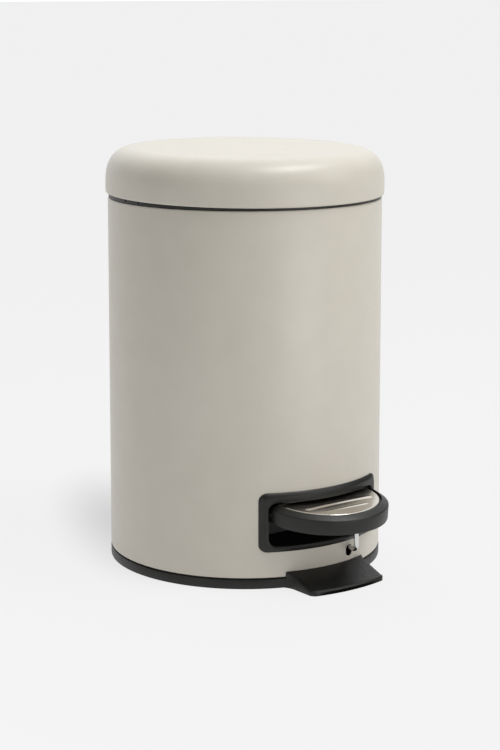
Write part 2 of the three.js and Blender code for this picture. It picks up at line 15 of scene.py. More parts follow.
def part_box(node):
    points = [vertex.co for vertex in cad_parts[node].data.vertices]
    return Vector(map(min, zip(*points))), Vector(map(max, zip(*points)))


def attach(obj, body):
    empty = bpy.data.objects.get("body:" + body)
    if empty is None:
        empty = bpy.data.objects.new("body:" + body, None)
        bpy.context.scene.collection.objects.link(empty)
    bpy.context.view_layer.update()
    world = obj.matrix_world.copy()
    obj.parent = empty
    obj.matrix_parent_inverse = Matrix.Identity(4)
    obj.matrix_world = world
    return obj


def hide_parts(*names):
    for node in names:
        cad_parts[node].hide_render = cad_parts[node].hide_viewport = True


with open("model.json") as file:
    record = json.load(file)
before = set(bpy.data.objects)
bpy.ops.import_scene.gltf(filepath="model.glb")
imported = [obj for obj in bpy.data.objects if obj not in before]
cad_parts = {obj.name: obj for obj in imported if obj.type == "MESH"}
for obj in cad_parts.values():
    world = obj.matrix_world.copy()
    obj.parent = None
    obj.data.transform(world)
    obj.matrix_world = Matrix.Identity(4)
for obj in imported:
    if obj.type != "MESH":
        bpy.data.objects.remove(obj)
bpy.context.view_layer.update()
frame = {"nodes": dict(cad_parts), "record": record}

MM = 0.001
MICRON = 0.000001
TAU = 2 * math.pi
ROUND = 240  # points around the large turned pieces
GAP = 0.3  # clearance between neighbouring pieces
FAR = 260  # height above everything, for cutting tools
OUTSIDE = 90  # distance from the axis beyond the drum's wall, for cutting tools


# ---- dimensions read from the frame ---------------------------------------------------


def span(node):
    """A node's lowest and highest corners in millimetres."""
    low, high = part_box(node)
    return Vector(low) / MM, Vector(high) / MM


def pivot(name):
    """A joint's position in millimetres."""
    joint = next(j for j in frame["record"]["behaviour"]["joints"] if j["name"] == name)
    return Vector(joint["pos_m"]) / MM


DRUM_LOW, DRUM_HIGH = span("body_shell")
LID_LOW, LID_HIGH = span("lid_shell")
BEZEL_LOW, BEZEL_HIGH = span("recess_housing")
HOUSE_LOW, HOUSE_HIGH = span("hinge_housing")
WIRE_LOW, WIRE_HIGH = span("lever_wire")
ROD_LOW, ROD_HIGH = span("push_rod")
DRUM_R = DRUM_HIGH.x
LID_R = LID_HIGH.x
PEDAL_HALF = span("pedal_body")[1].x
BUCKET_BOTTOM = span("bucket")[0].z
WIRE_X = (WIRE_LOW.x + WIRE_HIGH.x) / 2
WIRE_R = (WIRE_HIGH.x - WIRE_LOW.x) / 2
ROD_Y = (ROD_LOW.y + ROD_HIGH.y) / 2
HINGE = pivot("lid_hinge")
BAIL = pivot("bail_swing")
FULCRUM = pivot("lever_tilt")


# ---- dimensions of the visible shapes -------------------------------------------------

SHEET = 0.7  # drum's wall
FRONT_WALL = (-120, -60)  # Y span of a tool that cuts the drum's front wall only
MOUTH = {"half": 39.9, "low": 26.4, "high": 52.3, "corner": 4.5}
SLEEVE = 2.1  # wall around the mouth
FRAME_POINTS = 200  # points around each outline of the recess
SLOT = {"half": 2.9, "low": 12.3, "high": 19.5, "corner": 2.85}
BEZEL_CORNER = 4.6
BEZEL_FACE = 87.15

RIM = {"lip": 84.5, "top": 230.0, "inner": 82.4, "low": 214}
RIM_LEDGE = {"inner": 77.4, "top": 224, "low": 222.2}
RIM_NOTCH = {"half": 20, "front": 78.4}  # for the hinge strap
ROD_CUT = {"half": 4.5, "front": 74, "low": 200}  # for the push rod's cap
RIM_SLIT = {"y": 7, "half": 0.5}

BASE_R = 85.1
RING_TOP = 5.9
TRAY = {"collar": 83.9, "inner": 81.9, "top": 12, "floor": 2.6}
GROOVE = {"inner": 77, "outer": 82, "depth": 0.7}  # under the base
TOE = {"half": 28, "reach": 107, "corner": 3, "root": 85.3, "flare_from": 90, "flare": 0.075}
TOE_TOP = [(107, 1.9), (106.85, 2.45), (106.4, 2.95), (105.7, 3.1), (105.0, 2.95), (104.5, 2.6), (85.3, 9.9)]
EAR = {"near": 6, "far": 8.5, "half_length": 4.5, "foot": 1, "rise": 4.2}

PEDAL_LEAN = 0.085
PEDAL_AT = Vector((0, -85, 49))
PEDAL_REACH = 36.1
PEDAL_CENTRE = 3.6  # centre of the half ellipse, along the leaning pedal
PEDAL_TAPER = 0.11  # how fast the sides close in behind the ellipse
HEEL = {"start": 10, "top": -1.6}  # lowered back, which stays inside the mouth
PLATE = {"half": 33.5, "reach": 30.2, "back": 4.5, "low": 0.85, "top": 1.8, "crown": 0.3}
PLATE_RIBS = ((-8.0, 24, 1.5, 0.5), (-16.6, 14, 1.0, 0.35))  # Y, half length, half width, rise

LEVER = {"z": 17.6, "knee": (-90.2, 27), "hook_y": -85.9, "bends": (3.4, 3.0)}

LID = {"side": 6.78, "shoulder": 18.46, "tall": 27.85, "power": 2 / 2.44, "sheet": 0.8, "crown": 0.25}
LID_TILT = 0.014
LID_SEAT = LID_LOW.z + LID_TILT * LID_R
LINER = {"outer": 84.6, "wall": 83.2, "ledge": 80.2, "low": 2.6, "ledge_top": 4.2, "top": 9}
BOSS = {"half": 24, "front": 66, "back": 79.6, "low": 8.2, "top": 15}
WEB = {"near": 19.6, "back": 81.2, "low": 5.2, "top": 9.2}

HOUSE = {"top": 221.0, "front": 80, "wall": 2.4, "lug": 4, "lug_near": 10.3, "hole": 1.8}

BUCKET = {"top": 226.3, "flange": 79.2, "wide": 75, "narrow": 70, "wall": 1.6}
BUCKET_LUG = {"near": 76.2, "far": 78.4, "half": 5, "rise": 4.8, "drop": 1.6, "hole": 1.55}
ROD_NOTCH = 4.2
BAIL_LOOP = {"radius": 74.5, "reach": 78.9, "wire": 1.25, "grip": 0.36}


# ---- camera ---------------------------------------------------------------------------


def make_camera():
    """A long lens in front of the bin and to its left, a little above the lid and dipped."""
    data = bpy.data.cameras.new("camera")
    data.lens = 92.24
    data.sensor_width = 36
    data.shift_x = 0.0068
    data.shift_y = -0.12
    camera = bpy.data.objects.new("camera", data)
    away, height, turn, dip = 1.1885, 0.3548, math.radians(-37), math.radians(8.82)
    camera.location = (away * math.sin(turn), -away * math.cos(turn), height)
    camera.rotation_euler = (math.pi / 2 - dip, 0, turn)
    bpy.context.collection.objects.link(camera)
    bpy.context.scene.camera = camera


make_camera()


# ---- materials ------------------------------------------------------------------------

NOISE_RANGE = (0.3, 0.7)  # where most of a noise texture's values lie


def new_material(name, **sockets):
    """A Principled material with constants on its own sockets."""
    material = bpy.data.materials.new(name)
    material.use_nodes = True
    shader = material.node_tree.nodes["Principled BSDF"]
    for key, value in sockets.items():
        shader.inputs[key.replace("_", " ")].default_value = value
    return material


def noise(material, scale, detail=3.0, stretch=(1, 1, 1)):
    """Noise over the object's own coordinates; scale is in waves a metre."""
    nodes, links = material.node_tree.nodes, material.node_tree.links
    coord = nodes.new("ShaderNodeTexCoord")
    mapping = nodes.new("ShaderNodeMapping")
    mapping.inputs["Scale"].default_value = stretch
    texture = nodes.new("ShaderNodeTexNoise")
    texture.inputs["Scale"].default_value = scale
    texture.inputs["Detail"].default_value = detail
    links.new(coord.outputs["Object"], mapping.inputs["Vector"])
    links.new(mapping.outputs["Vector"], texture.inputs["Vector"])
    return texture.outputs["Fac"]


def vary_colour(material, source, low, high):
    """Base colour that wanders between two shades."""
    ramp = material.node_tree.nodes.new("ShaderNodeValToRGB")
    for element, at, shade in zip(ramp.color_ramp.elements, NOISE_RANGE, (low, high)):
        element.position = at
        element.color = (*shade, 1)
    links = material.node_tree.links
    links.new(source, ramp.inputs["Fac"])
    shader = material.node_tree.nodes["Principled BSDF"]
    links.new(ramp.outputs["Color"], shader.inputs["Base Color"])


def vary_roughness(material, source, low, high):
    """Roughness that wanders between two values."""
    spread = material.node_tree.nodes.new("ShaderNodeMapRange")
    spread.inputs["From Min"].default_value = NOISE_RANGE[0]
    spread.inputs["From Max"].default_value = NOISE_RANGE[1]
    spread.inputs["To Min"].default_value = low
    spread.inputs["To Max"].default_value = high
    links = material.node_tree.links
    links.new(source, spread.inputs["Value"])
    shader = material.node_tree.nodes["Principled BSDF"]
    links.new(spread.outputs["Result"], shader.inputs["Roughness"])


def roughen(material, *layers):
    """Bump from noise layers of (source, height in metres)."""
    nodes, links = material.node_tree.nodes, material.node_tree.links
    normal = None
    for source, height in layers:
        bump = nodes.new("ShaderNodeBump")
        bump.inputs["Strength"].default_value = 1.0
        bump.inputs["Distance"].default_value = height
        links.new(source, bump.inputs["Height"])
        if normal is not None:
            links.new(normal, bump.inputs["Normal"])
        normal = bump.outputs["Normal"]
    links.new(normal, nodes["Principled BSDF"].inputs["Normal"])


def coated_steel():
    """Warm light grey powder coat with a faint orange peel."""
    material = new_material("powder_coat", Specular_IOR_Level=0.5)
    vary_colour(material, noise(material, 60), (0.543, 0.508, 0.438), (0.563, 0.528, 0.457))
    vary_roughness(material, noise(material, 400), 0.35, 0.42)
    roughen(material, (noise(material, 900, 2), 12 * MICRON), (noise(material, 3500, 2), 6 * MICRON))
    return material


def black_plastic():
    """Black polypropylene with a fine moulded grain."""
    material = new_material("black_plastic", Specular_IOR_Level=0.42)
    vary_colour(material, noise(material, 120), (0.0055, 0.0055, 0.0042), (0.009, 0.009, 0.007))
    vary_roughness(material, noise(material, 700), 0.36, 0.5)
    roughen(material, (noise(material, 2600, 2), 40 * MICRON))
    return material


def grey_plastic():
    """Smooth dark grey polypropylene."""
    material = new_material("grey_plastic", Specular_IOR_Level=0.5)
    vary_colour(material, noise(material, 90), (0.045, 0.045, 0.046), (0.058, 0.058, 0.059))
    vary_roughness(material, noise(material, 500), 0.38, 0.5)
    roughen(material, (noise(material, 1500, 2), 20 * MICRON))
    return material


def soft_rubber():
    """Matt black rubber."""
    material = new_material("foot_rubber", Specular_IOR_Level=0.3)
    vary_colour(material, noise(material, 200), (0.012, 0.012, 0.012), (0.02, 0.02, 0.02))
    vary_roughness(material, noise(material, 900), 0.75, 0.9)
    roughen(material, (noise(material, 1800, 3), 50 * MICRON))
    return material


def satin_steel():
    """Stainless steel brushed from side to side."""
    material = new_material("satin_steel", Metallic=1.0)
    streaks = noise(material, 1.0, 4, (60, 5200, 5200))
    vary_colour(material, streaks, (0.5, 0.465, 0.415), (0.72, 0.68, 0.62))
    vary_roughness(material, streaks, 0.13, 0.24)
    roughen(material, (streaks, 6 * MICRON))
    return material


def bright_steel():
    """Zinc-plated wire with faint drawing lines."""
    material = new_material("bright_steel", Metallic=1.0)
    lines = noise(material, 1.0, 3, (3000, 3000, 300))
    vary_colour(material, noise(material, 400), (0.62, 0.62, 0.61), (0.72, 0.72, 0.715))
    vary_roughness(material, lines, 0.1, 0.2)
    roughen(material, (lines, 4 * MICRON))
    return material


LOOKS = {
    "coated_steel": coated_steel(),
    "black_plastic": black_plastic(),
    "grey_plastic": grey_plastic(),
    "rubber": soft_rubber(),
    "satin_steel": satin_steel(),
    "bright_steel": bright_steel(),
}


# ---- mesh helpers ---------------------------------------------------------------------


def new_object(name, points, faces):
    """An object from millimetre points, with faces turned outward."""
    mesh = bpy.data.meshes.new(name)
    mesh.from_pydata([Vector(p) * MM for p in points], [], faces)
    work = bmesh.new()
    work.from_mesh(mesh)
    bmesh.ops.recalc_face_normals(work, faces=work.faces)
    work.to_mesh(mesh)
    work.free()
    piece = bpy.data.objects.new(name, mesh)
    bpy.context.collection.objects.link(piece)
    return piece


def bridge(rings, loop=False):
    """Faces between rings of points. A ring of one point is a pole; open ends are capped."""
    points, starts, faces = [], [], []
    for ring in rings:
        starts.append(len(points))
        points.extend(ring)
    pairs = list(zip(range(len(rings) - 1), range(1, len(rings))))
    if loop:
        pairs.append((len(rings) - 1, 0))
    for a, b in pairs:
        count = max(len(rings[a]), len(rings[b]))
        for i in range(count):
            j = (i + 1) % count
            if len(rings[a]) == 1:
                faces.append((starts[a], starts[b] + j, starts[b] + i))
            elif len(rings[b]) == 1:
                faces.append((starts[a] + i, starts[a] + j, starts[b]))
            else:
                faces.append((starts[a] + i, starts[a] + j, starts[b] + j, starts[b] + i))
    if not loop:
        for k in (0, len(rings) - 1):
            if len(rings[k]) > 1:
                faces.append(tuple(starts[k] + i for i in range(len(rings[k]))))
    return points, faces


def mirrored(near, far, centre=0):
    """The X spans of a feature on the left and on the right of a centre."""
    return [sorted((centre + side * near, centre + side * far)) for side in (-1, 1)]


def arc(centre, radii, stop, steps):
    """Points of an ellipse from its right side round to an angle."""
    angles = [stop * k / steps for k in range(steps + 1)]
    return [(centre[0] + radii[0] * math.cos(t), centre[1] + radii[1] * math.sin(t)) for t in angles]


def circle(centre, radius, sides):
    """A closed 2-D outline with one point a side."""
    return arc(centre, (radius, radius), TAU, sides)[:-1]


def curve(start, corner, end, steps):
    """Points of a smooth bend that starts and ends along a corner's two sides."""
    parts = [k / steps for k in range(steps + 1)]
    return [start * (1 - t) ** 2 + corner * 2 * t * (1 - t) + end * t * t for t in parts]


def fillet(points, radius, steps=4):
    """A closed 2-D outline with its corners rounded."""
    count = len(points)
    out = []
    for i, point in enumerate(points):
        here = Vector(point)
        before = Vector(points[i - 1]) - here
        after = Vector(points[(i + 1) % count]) - here
        cut = min(radius, before.length * 0.45, after.length * 0.45)
        out += curve(here + before.normalized() * cut, here, here + after.normalized() * cut, steps)
    return [tuple(p) for p in out]


def bent(corners, radii, steps=10):
    """A path through corner points with each inner corner turned on a curve."""
    points = [Vector(corner) for corner in corners]
    path = [points[0]]
    for before, here, after, radius in zip(points, points[1:], points[2:], radii):
        start = here + (before - here).normalized() * radius
        end = here + (after - here).normalized() * radius
        path += curve(start, here, end, steps)
    path.append(points[-1])
    return path


def turned(name, profile, swell=None, loop=True):
    """Revolves an (r, z) profile about Z. swell(angle) adds to the drum's outermost radii."""
    rings = []
    for r, z in profile:
        if r < 1e-6:
            rings.append([(0, 0, z)])
            continue
        ring = []
        for i in range(ROUND):
            angle = TAU * i / ROUND
            reach = r + swell(angle) if swell and r > DRUM_R - 0.1 else r
            ring.append((reach * math.sin(angle), -reach * math.cos(angle), z))
        rings.append(ring)
    return new_object(name, *bridge(rings, loop))


def slab(name, outline, low, high, edge):
    """A (y, z) outline carried along X, with its two rims rounded."""
    middle = sum((Vector(p) for p in outline), Vector((0, 0))) / len(outline)
    rim = [(edge, 0), (edge * 0.3, edge * 0.3), (0, edge)]
    sections = [(inset, low + depth) for inset, depth in rim]
    sections += [(inset, high - depth) for inset, depth in rim[::-1]]
    rings = []
    for inset, at in sections:
        ring = []
        for point in outline:
            flat = Vector(point)
            u, v = flat + (middle - flat).normalized() * inset
            ring.append((at, u, v))
        rings.append(ring)
    return new_object(name, *bridge(rings))


def block(name, low, high, edge=0.6):
    """A box with rounded edges."""
    outline = fillet([(low[1], low[2]), (high[1], low[2]), (high[1], high[2]), (low[1], high[2])], edge)
    return slab(name, outline, low[0], high[0], edge * 0.7)


def disc(name, centre, radius, low, high, edge=0.0):
    """An upright round with an optional rounded edge."""
    profile = [(radius, low), (radius, high)]
    if edge:
        profile = [(radius - edge, low), (radius - edge * 0.3, low + edge * 0.3), (radius, low + edge)]
        profile += [(r, low + high - z) for r, z in profile[::-1]]
    rings = [[(x, y, z) for x, y in circle((centre.x, centre.y), r, 48)] for r, z in profile]
    return new_object(name, *bridge(rings))


def rod(name, path, radius, sides):
    """A round wire through the path's points with domed ends."""
    points = [Vector(p) for p in path]
    last = len(points) - 1
    dome = [(radius * math.cos(t), radius - radius * math.sin(t)) for t in (1.2, 0.7, 0.3)]
    side = (points[1] - points[0]).orthogonal().normalized()
    rings = []
    for i, here in enumerate(points):
        ahead = (points[min(i + 1, last)] - points[max(i - 1, 0)]).normalized()
        side = (side - ahead * side.dot(ahead)).normalized()
        up = ahead.cross(side)
        sizes = [(radius, 0)]
        if i == 0:
            sizes = dome
        elif i == last:
            sizes = [(size, -shift) for size, shift in dome[::-1]]
        for size, shift in sizes:
            spokes = circle((0, 0), size, sides)
            rings.append([here + ahead * shift + side * u + up * v for u, v in spokes])
    return new_object(name, *bridge(rings))


def combine(piece, tool, operation="DIFFERENCE"):
    """Cuts or joins a piece with a tool object and drops the tool."""
    step = piece.modifiers.new("combine", "BOOLEAN")
    step.operation = operation
    step.solver = "EXACT"
    step.object = tool
    done = piece.evaluated_get(bpy.context.evaluated_depsgraph_get())
    mesh = bpy.data.meshes.new_from_object(done)
    piece.modifiers.clear()
    piece.data = mesh
    bpy.data.objects.remove(tool)


def dress(piece, body, look, node, sharp=32):
    """Shades and colours a finished piece, attaches it to its body, and hides the CAD node it stands for."""
    piece.data.materials.clear()
    piece.data.materials.append(LOOKS[look])
    piece.data.polygons.foreach_set("use_smooth", [True] * len(piece.data.polygons))
    piece.data.set_sharp_from_angle(angle=math.radians(sharp))
    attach(piece, body)
    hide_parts(node)


# ---- drum, rim and base ---------------------------------------------------------------


def rounded_frame(half, low, high, corner, depth):
    """A rounded rectangle that faces the front; depth(x) gives its Y."""
    points = []
    for x, z, start in ((half, low, -90), (half, high, 0), (-half, high, 90), (-half, low, 180)):
        cx = x - math.copysign(corner, x)
        cz = z + corner if z == low else z - corner
        for k in range(9):
            t = math.radians(start + 90 * k / 8)
            points.append((cx + corner * math.cos(t), cz + corner * math.sin(t)))
    dense = []
    for i, here in enumerate(points):
        after = points[(i + 1) % len(points)]
        pieces = max(1, round(math.dist(here, after) / 2.5))
        for k in range(pieces):
            t = k / pieces
            dense.append((here[0] * (1 - t) + after[0] * t, here[1] * (1 - t) + after[1] * t))
    return [(x, depth(x), z) for x, z in dense]


def on_drum(radius):
    """Depth of a frame that lies on a cylinder about the bin's axis."""
    return lambda x: -math.sqrt(radius * radius - x * x)


def flat_at(y):
    """Depth of a frame that lies in a plane."""
    return lambda x: y


def frame_ring(grow, depth, size=MOUTH):
    """The mouth's outline, or another, grown by a margin."""
    corner = max(size["corner"] + grow, 0.5)
    return rounded_frame(size["half"] + grow, size["low"] - grow, size["high"] + grow, corner, depth)


def seam(angle):
    """The folded lock seam that runs up the drum's back."""
    height, half, slope = 0.28, 3.6, 1.2
    off = abs(angle - math.pi) * DRUM_R
    return height * max(0.0, min(1.0, (half - off) / slope))


def make_drum():
    low, high = DRUM_LOW.z, DRUM_HIGH.z
    inner = DRUM_R - SHEET
    profile = [
        (inner - 0.5, low),
        (DRUM_R - 0.45, low),
        (DRUM_R - 0.12, low + 0.25),
        (DRUM_R, low + 0.9),
        (DRUM_R, high - 1.1),
        (DRUM_R - 0.07, high - 0.6),
        (DRUM_R - 0.2, high - 0.3),
        (DRUM_R - 0.42, high - 0.08),
        (DRUM_R - 0.6, high),
        (inner - 0.2, high),
        (inner - 0.2, high - 1.4),
        (inner, high - 1.8),
        (inner, low + 1.8),
        (inner - 0.5, low + 1.4),
    ]
    drum = turned("drum", profile, seam)
    opening = [frame_ring(SLEEVE + GAP, flat_at(y)) for y in FRONT_WALL]
    combine(drum, new_object("tool", *bridge(opening)))
    slot = [frame_ring(0, flat_at(y), SLOT) for y in FRONT_WALL]
    slot = [[(x + WIRE_X, y, z) for x, y, z in ring] for ring in slot]
    combine(drum, new_object("tool", *bridge(slot)))
    dress(drum, "bin", "coated_steel", "body_shell")


def make_rim():
    outer, lip, inner, ledge = DRUM_R - SHEET - GAP, RIM["lip"], RIM["inner"], RIM_LEDGE["inner"]
    seat = DRUM_HIGH.z + GAP
    profile = [(outer, RIM["low"]), (outer, seat), (lip, seat), (lip, RIM["top"]), (inner, RIM["top"])]
    profile += [(inner, RIM_LEDGE["top"]), (ledge, RIM_LEDGE["top"])]
    profile += [(ledge, RIM_LEDGE["low"]), (inner, RIM_LEDGE["low"]), (inner, RIM["low"])]
    rim = turned("rim_ring", fillet(profile, 0.45, 3))
    half = RIM_NOTCH["half"]
    combine(rim, block("tool", (-half, RIM_NOTCH["front"], DRUM_HIGH.z - 0.2), (half, OUTSIDE, FAR), 0.3))
    left, right = WIRE_X - ROD_CUT["half"], WIRE_X + ROD_CUT["half"]
    combine(rim, block("tool", (left, ROD_CUT["front"], ROD_CUT["low"]), (right, OUTSIDE, FAR), 0.3))
    for y in (-RIM_SLIT["y"], RIM_SLIT["y"]):
        low = (-OUTSIDE, y - RIM_SLIT["half"], DRUM_HIGH.z + 1)
        combine(rim, block("tool", low, (OUTSIDE, y + RIM_SLIT["half"], FAR), 0.1))
    dress(rim, "bin", "black_plastic", "top_rim")


def toe_top(radius):
    """Height of the toe plate's top at a distance from the bin's axis."""
    for (r1, z1), (r2, z2) in zip(TOE_TOP, TOE_TOP[1:]):
        if radius >= r2:
            return z1 + (z2 - z1) * (r1 - radius) / (r1 - r2)
    return TOE_TOP[-1][1]


def toe_half(radius):
    """Half the toe plate's width, with rounded front corners and a root that flares out."""
    half, corner = TOE["half"], TOE["corner"]
    short = max(0, corner - (TOE["reach"] - radius))
    half += math.sqrt(max(0, corner * corner - short * short)) - corner
    return half + TOE["flare"] * max(0, TOE["flare_from"] - radius) ** 2


def toe_ring(radius, top):
    """One band of the toe plate at a distance from the bin's axis."""
    half = toe_half(radius)
    edge = min(0.9, top * 0.4)
    upper = [(-half, top - edge), (-half + edge * 0.3, top - edge * 0.3), (-half + edge, top)]
    across = [(-half + edge + (2 * half - 2 * edge) * k / 24, top) for k in range(1, 24)]
    section = [(-half, 0)] + upper + across + [(-x, z) for x, z in upper[::-1]] + [(half, 0)]
    section += [(half - 2 * half * k / 12, 0) for k in range(1, 12)]
    return [(x, -math.sqrt(radius * radius - x * x), z) for x, z in section]


def make_toe():
    radii = [107, 106.85, 106.4, 105.7, 105, 104.5, 104, 100, 95, 90, 88.5, 87, 86, TOE["root"]]
    rings = [toe_ring(r, toe_top(r)) for r in radii]
    rings += [toe_ring(r, RING_TOP - 0.05) for r in (TOE["root"], 83)]
    return new_object("tool", *bridge(rings))


def make_base():
    start, end, depth = GROOVE["inner"], GROOVE["outer"], GROOVE["depth"]
    collar, inner, top, floor = TRAY["collar"], TRAY["inner"], TRAY["top"], TRAY["floor"]
    profile = [
        (0, 0), (start, 0), (start + 0.6, depth), (end - 0.6, depth), (end, 0),
        (BASE_R - 0.5, 0), (BASE_R - 0.1, 0.2), (BASE_R, 0.6),
        (BASE_R, RING_TOP - 0.5), (BASE_R - 0.15, RING_TOP - 0.12), (BASE_R - 0.5, RING_TOP),
        (collar, RING_TOP), (collar, top - 0.4), (collar - 0.4, top), (inner + 0.4, top),
        (inner, top - 0.4), (inner, floor + 0.4), (inner - 0.5, floor), (0, floor),
    ]
    base = turned("base_tray", profile, loop=False)
    combine(base, make_toe(), "UNION")
    front, back = FULCRUM.y - EAR["half_length"], FULCRUM.y + EAR["half_length"]
    for near, far in mirrored(EAR["near"], EAR["far"], WIRE_X):
        ear = block("tool", (near, front, EAR["foot"]), (far, back, FULCRUM.z + EAR["rise"]), 1.0)
        combine(base, ear, "UNION")
    for k in range(4):
        low, high = span(f"foot_pad_{k + 1}")
        combine(base, disc("tool", (low + high) / 2, (high.x - low.x) / 2 + GAP, -1, high.z + GAP))
    dress(base, "bin", "black_plastic", "base_moulding")


def make_foot_pads():
    for k in range(4):
        node = f"foot_pad_{k + 1}"
        low, high = span(node)
        pad = disc(f"pad_{k + 1}", (low + high) / 2, (high.x - low.x) / 2, low.z, high.z, 0.35)
        dress(pad, "bin", "rubber", node)


# ---- recess, pedal and plate ----------------------------------------------------------


def resample(ring, count):
    """The same closed outline with evenly spaced points, starting where it starts."""
    points = [Vector(p) for p in ring]
    points.append(points[0])
    lengths = [0.0]
    for a, b in zip(points, points[1:]):
        lengths.append(lengths[-1] + math.hypot(b.x - a.x, b.z - a.z))
    out, j = [], 0
    for i in range(count):
        want = lengths[-1] * i / count
        while lengths[j + 1] < want:
            j += 1
        t = (want - lengths[j]) / max(lengths[j + 1] - lengths[j], 1e-9)
        out.append(points[j].lerp(points[j + 1], t))
    return out


def make_recess():
    """The box behind the mouth, its rounded lip, the bezel on the drum, and the sleeve behind."""
    bezel = {"half": BEZEL_HIGH.x, "low": BEZEL_LOW.z, "high": BEZEL_HIGH.z, "corner": BEZEL_CORNER}
    back = BEZEL_HIGH.y
    rings = [
        frame_ring(-1.6, flat_at(back - SLEEVE)),
        frame_ring(-0.8, flat_at(back - SLEEVE - 0.3)),
        frame_ring(-0.4, flat_at(back - SLEEVE - 1.2)),
        frame_ring(0, on_drum(85.2)),
        frame_ring(0.05, on_drum(86.1)),
        frame_ring(0.25, on_drum(86.6)),
        frame_ring(0.6, on_drum(86.85)),
        frame_ring(1.1, on_drum(86.95)),
        frame_ring(-2.7, on_drum(BEZEL_FACE), bezel),
        frame_ring(-2.2, on_drum(BEZEL_FACE - 0.06), bezel),
        frame_ring(-0.4, on_drum(86.05), bezel),
        frame_ring(-0.1, on_drum(85.8), bezel),
        frame_ring(0, on_drum(85.5), bezel),
        frame_ring(0, on_drum(DRUM_R + 0.12), bezel),
        frame_ring(SLEEVE, on_drum(DRUM_R + 0.12)),
        frame_ring(SLEEVE, flat_at(back)),
    ]
    housing = new_object("recess_frame", *bridge([resample(ring, FRAME_POINTS) for ring in rings]))
    dress(housing, "bin", "black_plastic", "recess_housing", sharp=40)


def lean(points):
    """Points drawn on the level pedal, moved to where the leaning pedal has them."""
    turn = Matrix.Rotation(PEDAL_LEAN, 3, "X")
    return [turn @ Vector(p) + PEDAL_AT for p in points]


def pedal_ring(half, reach, back, height):
    """A half ellipse in front and tapering sides behind, on the level pedal."""
    middle = (back + PEDAL_CENTRE) / 2
    sides = [(half - PEDAL_TAPER * (y - PEDAL_CENTRE), y) for y in (back, middle)]
    points = sides + arc((0, PEDAL_CENTRE), (half, -reach), math.pi, 72)
    points += [(-x, y) for x, y in sides[::-1]]
    points += [(sides[0][0] * (k / 4 - 1), back) for k in range(1, 8)]
    return [(x, y, min(height, HEEL["top"]) if y > HEEL["start"] else height) for x, y in points]


def make_pedal():
    """Built up from its underside by the skirt to the bevelled rim and down into the well."""
    sections = [
        # inset at the sides, inset in front, back, height
        (2.6, 2.6, 15.4, -3.0),
        (2.4, 2.4, 15.6, -3.3),
        (2.2, 2.2, 15.6, -8.8),
        (1.9, 1.9, 15.8, -9.1),
        (0.6, 0.6, 18, -9.1),
        (0.2, 0.2, 18, -8.9),
        (0.02, 0.02, 18, -8.4),
        (0, 0, 18, -0.8),
        (0.08, 0.08, 17.92, -0.4),
        (0.3, 0.3, 17.8, -0.08),
        (0.65, 0.65, 17.6, 0.14),
        (1.9, 2.0, 14, 0.92),
        (3.1, 3.6, 9.5, 1.72),
        (3.8, 4.4, 6.8, 2.14),
        (4.05, 4.65, 6.2, 2.2),
        (4.2, 4.8, 5.9, 2.05),
        (4.25, 4.85, 5.8, 1.7),
        (4.3, 4.9, 5.7, 0.7),
        (4.5, 5.1, 5.5, 0.5),
    ]
    rings = [lean(pedal_ring(PEDAL_HALF - a, PEDAL_REACH - b, back, z)) for a, b, back, z in sections]
    pedal = new_object("pedal_tread", *bridge(rings))
    dress(pedal, "pedal", "black_plastic", "pedal_body", sharp=40)


def plate_height(x, y):
    """The plate is a shallow crown with two pressed ribs across it."""
    crown, across, along = PLATE["crown"], 34, 31
    height = PLATE["top"] + crown - crown * ((x / across) ** 2 + ((y - PEDAL_CENTRE) / along) ** 2)
    for at, length, width, rise in PLATE_RIBS:
        away = math.hypot(max(abs(x) - length, 0), y - at) / width
        height += rise * max(0, 1 - away * away) ** 1.5
    return height


def make_plate():
    """A flat underside, a polished bevel, and a top drawn in towards its middle."""
    half, reach, back, low = PLATE["half"], PLATE["reach"], PLATE["back"], PLATE["low"]
    rings = [lean(pedal_ring(half - 0.4, reach - 0.4, back - 0.3, low))]
    for inset, height in ((0.1, low), (0, 0.95), (0, 1.3), (0.06, 1.4), (0.45, 1.74), (0.6, 1.79)):
        rings.append(lean(pedal_ring(half - inset, reach - inset, back - inset / 3, height)))
    steps = 60
    for k in range(1, steps):
        part = 1 - k / steps
        ring = pedal_ring((half - 0.7) * part, (reach - 0.7) * part, PEDAL_CENTRE + (back - 4) * part, 0)
        rings.append(lean([(x, y, plate_height(x, y)) for x, y, _ in ring]))
    plate = new_object("pedal_insert", *bridge(rings))
    dress(plate, "pedal", "satin_steel", "pedal_plate", sharp=50)


# ---- lever wire -----------------------------------------------------------------------


def make_lever():
    """Straight through the drum, up in front of it, and a hook that leans back to the pedal."""
    level, knee = LEVER["z"], LEVER["knee"]
    corners = [
        (WIRE_X, WIRE_HIGH.y, level),
        (WIRE_X, WIRE_LOW.y + WIRE_R, level),
        (WIRE_X, *knee),
        (WIRE_X, LEVER["hook_y"], WIRE_HIGH.z),
    ]
    wire = rod("hook_wire", bent(corners, LEVER["bends"]), WIRE_R, 24)
    dress(wire, "lever", "bright_steel", "lever_wire", sharp=50)


# ---- lid ------------------------------------------------------------------------------


def seat_lid(piece):
    """Moves a piece drawn level to the closed lid's slightly tilted place."""
    turn = Matrix.Rotation(LID_TILT, 4, "X")
    piece.data.transform(Matrix.Translation((0, 0, LID_SEAT * MM)) @ turn)


def lid_curve(inset, steps):
    """The lid's section from its side, round the shoulder, to the middle of its top."""
    side, power, crown = LID["side"], LID["power"], LID["crown"]
    rise = LID["tall"] - side - inset - crown
    run, flat = LID["shoulder"] - inset, LID_R - LID["shoulder"]
    points = []
    for k in range(steps + 1):
        t = k / steps * math.pi / 2
        points.append((flat + run * math.cos(t) ** power, side + rise * math.sin(t) ** power))
    for k in range(1, 9):
        part = 1 - k / 8
        points.append((flat * part, LID["tall"] - inset - crown * part * part))
    return points


